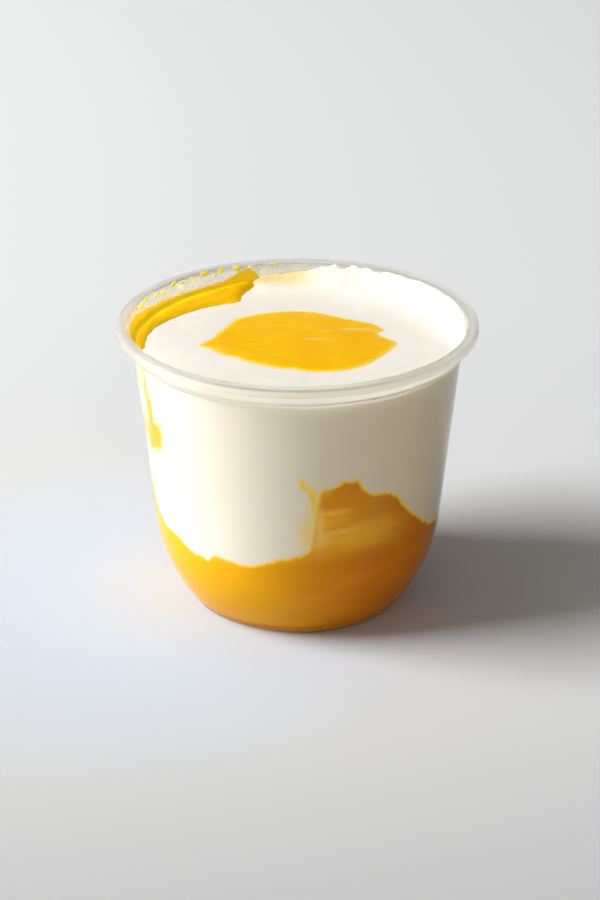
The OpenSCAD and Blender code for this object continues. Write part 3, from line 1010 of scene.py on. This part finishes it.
def puree_material(patches, relief, name, colours, pale_depth, shine, fringe=0.8, thick=False,
                   thin=0.0):
    """Yellow puree, paler within pale_depth millimetres of its edge, and palest in the fringe.
    Colours are the plain one, the one of its deeper patches and the pale one. With thick, the
    deeper colour is laid mostly by place, as painted shade towards the pot's right side, and thin
    puree lets that share of the light in."""
    plain, deep, pale = colours
    material, tree = blank(name)
    cloud = use(tree, patches, Scale=70.0, Flat=2.5, Low=0.38, High=0.66)
    # Painted shade: for thick puree the deeper colour is laid by place, darker towards the pot's
    # right side, with little of it left in patches
    if thick:
        cloud = calc(tree, "MULTIPLY", cloud, 0.12)
        cloud = calc(tree, "ADD", cloud, calc(tree, "MULTIPLY", across(tree, -0.024, 0.026), 0.92))
    base = tint(tree, cloud, plain, deep)
    fibres = use(tree, patches, Scale=280.0, Flat=5.0, Low=0.5, High=0.75)
    base = tint(tree, calc(tree, "MULTIPLY", fibres, 0.06), base, pale)
    base = tint(tree, layer(tree, "streak"), base, STREAK_COLOUR)
    base = tint(tree, layer(tree, "milk"), base, MILK_COLOUR)
    ragged_edge = use(tree, patches, Scale=600.0, Flat=1.6, Low=0.3, High=0.7)
    depth = calc(tree, "SUBTRACT", layer(tree, "depth"),
                 calc(tree, "MULTIPLY", ragged_edge, 0.35 * pale_depth))
    base = tint(tree, spread(tree, depth, pale_depth, 0.1 * pale_depth), base, pale)
    # Painted shade: the fringe is duller at the pot's left side, in the lamp's full light
    edge_colour_shaded = tint(tree, across(tree, -0.036, -0.010), FRINGE_LEFT_SHADE, FRINGE_COLOUR)
    base = tint(tree, spread(tree, depth, fringe, -0.1, 0.0, 0.6), base, edge_colour_shaded)
    height = use(tree, relief, Wave_Scale=190.0, Grain_Scale=1500.0, Grain=0.15, Flat=2.5)
    bump = add(tree, "ShaderNodeBump", Strength=0.15, Distance=0.0004, Height=height)
    wet = use(tree, patches, Scale=240.0, Flat=2.0, Low=0.3, High=0.7)
    shader = add(tree, "ShaderNodeBsdfPrincipled", Base_Color=base, IOR=1.36,
                 Specular_IOR_Level=shine, Roughness=spread(tree, wet, 0.0, 1.0, 0.26, 0.38),
                 Normal=bump.outputs[0])
    if thin:
        soften(shader, thin, (1.0, 0.85, 0.4), 0.002)
    finish_material(tree, shader.outputs[0])
    return material


def film_material(patches, relief):
    """The film on the wall: cream near the bank, yellow behind the ribbon, and see-through."""
    material, tree = blank("yogurt_film")
    x = along(tree, "X")
    base = tint(tree, spread(tree, x, 0.006, -0.010), FILM_CREAM, FILM_YELLOW)
    cloud = use(tree, patches, Scale=90.0, Flat=1.6, Low=0.36, High=0.64)
    cover = spread(tree, cloud, 0.0, 1.0, 0.08, 0.34)
    near_bank = spread(tree, x, -0.016, 0.004, 0.0, 0.75)
    cover = calc(tree, "ADD", cover, near_bank)
    stains = use(tree, patches, Scale=150.0, Flat=1.0, Low=0.52, High=0.62)
    stains = calc(tree, "MULTIPLY", stains, spread(tree, layer(tree, "level"), 0.45, 0.8))
    base = tint(tree, stains, base, FILM_STAIN)
    cover = calc(tree, "ADD", cover, calc(tree, "MULTIPLY", stains, 0.4))
    cover = calc(tree, "MULTIPLY", cover, layer(tree, "film"))
    # The coat of puree that the ribbon leaves above itself
    coat = layer(tree, "coat")
    base = tint(tree, spread(tree, coat, 0.0, 0.25), base, FRINGE_COLOUR)
    base = tint(tree, spread(tree, coat, 0.1, 0.6), base, COAT_COLOUR)
    cover = calc(tree, "MAXIMUM", cover, spread(tree, coat, 0.0, 0.6))
    height = use(tree, relief, Wave_Scale=200.0, Grain_Scale=900.0, Grain=0.1, Flat=1.2)
    bump = add(tree, "ShaderNodeBump", Strength=0.06, Distance=0.0003, Height=height)
    shader = add(tree, "ShaderNodeBsdfPrincipled", Base_Color=base, Roughness=0.45,
                 Specular_IOR_Level=0.2, Alpha=calc(tree, "MINIMUM", cover, 0.97),
                 Normal=bump.outputs[0])
    soften(shader, 1.0, (1.0, 0.9, 0.7), 0.002)
    finish_material(tree, shader.outputs[0])
    return material


def plastic_material(patches, name, rough, clear, colours):
    """Plastic that lets the lamps reach the food, from clear to dull in soft patches. Rough is
    the roughness of both, and clear the share of the surface that can be seen through."""
    colour, dull, passing = colours
    material, tree = blank(name)
    haze = use(tree, patches, Scale=90.0, Flat=0.6, Low=0.3, High=0.7)
    flow = add(tree, "ShaderNodeTexNoise", Scale=260.0, Detail=2.0,
               Vector=add(tree, "ShaderNodeTexCoord").outputs["Object"])
    bump = add(tree, "ShaderNodeBump", Strength=0.05, Distance=0.0003, Height=flow.outputs[0])
    glass = add(tree, "ShaderNodeBsdfPrincipled", Base_Color=tint(tree, haze, colour, dull),
                IOR=1.22, Roughness=spread(tree, haze, 0.0, 1.0, *rough),
                Transmission_Weight=clear, Normal=bump.outputs[0])
    through_it = add(tree, "ShaderNodeBsdfTransparent", Color=passing)
    shadow = add(tree, "ShaderNodeLightPath").outputs["Is Shadow Ray"]
    surface = tree.nodes.new("ShaderNodeMixShader")
    tree.links.new(shadow, surface.inputs[0])
    tree.links.new(glass.outputs[0], surface.inputs[1])
    tree.links.new(through_it.outputs[0], surface.inputs[2])
    finish_material(tree, surface.outputs[0])
    return material


# ---- stage ----

CAMERA_PLACE = (0.000616, -0.6407, 0.3297)
CAMERA_DIP = 24.31
CAMERA_LENS = 105
SENSOR_WIDTH = 36
CAMERA_NEAR = 0.05
# The lamps' aim: a point in the middle of the pot
AIM = Vector((0, 0, 0.04))
FLOOR_SIZE = 6.0
# A painted cool patch on the paper beside the pot's lit side, offsetting the warm light that the
# puree throws there: its middle, its inner and outer radius, and its tint
WARM_SPOT = (-0.044, -0.012, 0)
WARM_REACH = (0.02, 0.10)
COOLER = (0.885, 0.985, 1.13)
# The paper's tint, painted slightly cool to offset the warm light from all round
PAPER_TINT = (0.985, 1.0, 1.012)
# Painted shade of the paper, darker near the viewer and lighter far off, as (place along Y in
# metres, grey)
PAPER_PAINTED_SHADE = [(-0.30, 0.40), (-0.15, 0.60), (-0.08, 0.70), (0.02, 0.76), (0.22, 0.85), (0.65, 0.92)]


def floor_material():
    """Pale paper, painted darker close to the viewer as painted shade, and lighter far off as
    painted light.
    """
    material, tree = blank("pale_paper")
    spot = add(tree, "ShaderNodeTexCoord").outputs["Object"]
    low, high = PAPER_PAINTED_SHADE[0][0], PAPER_PAINTED_SHADE[-1][0]
    ramp_node = tree.nodes.new("ShaderNodeValToRGB")
    ramp = ramp_node.color_ramp
    while len(ramp.elements) < len(PAPER_PAINTED_SHADE):
        ramp.elements.new(0.5)
    for stop, (place, grey) in zip(ramp.elements, PAPER_PAINTED_SHADE):
        stop.position = (place - low) / (high - low)
        stop.color = (*(grey * part for part in PAPER_TINT), 1)
    place_on_ramp = spread(tree, along(tree, "Y"), low, high, curve="LINEAR")
    tree.links.new(place_on_ramp, ramp_node.inputs["Fac"])
    # Painted cool patch at the pot's lit side, which offsets the warm light that the puree throws
    # there
    away = add(tree, "ShaderNodeVectorMath", Vector=spot)
    away.operation = "DISTANCE"
    away.inputs[1].default_value = WARM_SPOT
    inner, outer = WARM_REACH
    near = spread(tree, away.outputs["Value"], outer, inner)
    base = tint(tree, near, ramp_node.outputs["Color"], COOLER, blend="MULTIPLY")
    shader = add(tree, "ShaderNodeBsdfPrincipled", Base_Color=base, Roughness=0.9,
                 Specular_IOR_Level=0.1)
    finish_material(tree, shader.outputs[0])
    return material


def make_floor():
    """A plain sheet of paper under the pot."""
    bm = bmesh.new()
    bmesh.ops.create_grid(bm, x_segments=1, y_segments=1, size=FLOOR_SIZE / 2)
    mesh = bpy.data.meshes.new("floor")
    bm.to_mesh(mesh)
    bm.free()
    mesh.materials.append(floor_material())
    floor = bpy.data.objects.new("floor", mesh)
    bpy.context.scene.collection.objects.link(floor)


def make_camera():
    """The view from in front of the pot, looking down on it a little."""
    data = bpy.data.cameras.new("camera")
    data.lens = CAMERA_LENS
    data.sensor_width = SENSOR_WIDTH
    data.clip_start = CAMERA_NEAR
    camera = bpy.data.objects.new("camera", data)
    camera.location = CAMERA_PLACE
    camera.rotation_euler = (math.radians(90 - CAMERA_DIP), 0, 0)
    bpy.context.scene.collection.objects.link(camera)
    bpy.context.scene.camera = camera


def make_lamp(name, towards, distance, size, power, colour, mirrored=True):
    """A square softbox in that direction (azimuth from +X, elevation) from the pot. What isn't
    mirrored leaves no highlight."""
    azimuth, elevation = (math.radians(t) for t in towards)
    way = Vector((
        math.cos(elevation) * math.cos(azimuth),
        math.cos(elevation) * math.sin(azimuth),
        math.sin(elevation),
    ))
    data = bpy.data.lights.new(name, "AREA")
    data.shape = "SQUARE"
    data.size = size
    data.energy = power
    data.color = colour
    lamp = bpy.data.objects.new(name, data)
    lamp.location = AIM + way * distance
    lamp.rotation_euler = way.to_track_quat("Z", "Y").to_euler()
    lamp.visible_glossy = mirrored
    bpy.context.scene.collection.objects.link(lamp)


def make_world(colour, strength):
    """Even light from all round."""
    world = bpy.data.worlds.new("studio")
    world.use_nodes = True
    back = world.node_tree.nodes["Background"]
    back.inputs["Color"].default_value = (*colour, 1)
    back.inputs["Strength"].default_value = strength
    bpy.context.scene.world = world


make_camera()
make_world((1.0, 0.96, 0.93), 0.18)
make_lamp("key", (184, 40.5), 2.3, 1.2, 68.5, (1.0, 1.0, 1.0))
make_lamp("front_fill", (274, 6), 1.5, 0.7, 4.0, (1.0, 0.88, 0.70), mirrored=False)
make_floor()
bpy.context.scene.view_settings.view_transform = "Standard"

patches = make_patches()
relief = make_cream_relief()
deep_colours = (PUREE_COLOUR, PUREE_SHADE_AND_DEEP, PUREE_PALE)
top_colours = (TOP_PUREE_COLOUR, TOP_PUREE_DEEP, TOP_PUREE_PALE)
thick_puree = puree_material(patches, relief, "thick_puree", deep_colours, 0.9, 0.0,
                             fringe=0.35, thick=True)
pool_puree = puree_material(patches, relief, "pool_puree", top_colours, 1.6, 0.12)
ribbon_puree = puree_material(patches, relief, "ribbon_puree", top_colours, 3.6, 0.12)
spot_colours = (TOP_PUREE_PALE, TOP_PUREE_COLOUR, TOP_PUREE_PALE)
spot_puree = puree_material(patches, relief, "spot_puree", spot_colours, 0.1, 0.1, thin=1.0)
clear_wall = plastic_material(patches, "clear_wall", (0.12, 0.22), 1.0, WALL_PLASTIC)
foot_painted_glow = plastic_material(patches, "foot_painted_glow", (0.2, 0.3), 0.3, FOOT_PLASTIC_PAINTED_GLOW)
milky_lip = plastic_material(patches, "milky_lip", (0.3, 0.42), 0.87, LIP_PLASTIC)

puree_edge = puree_edge_tree()
cup_shell(clear_wall, milky_lip, foot_painted_glow)
puree_bottom(thick_puree, puree_edge)
yogurt_body(yogurt_material(patches, relief), puree_edge)
puree_pool(pool_puree)
puree_ribbon(ribbon_puree)
wall_film(film_material(patches, relief))
puree_spots(spot_puree)
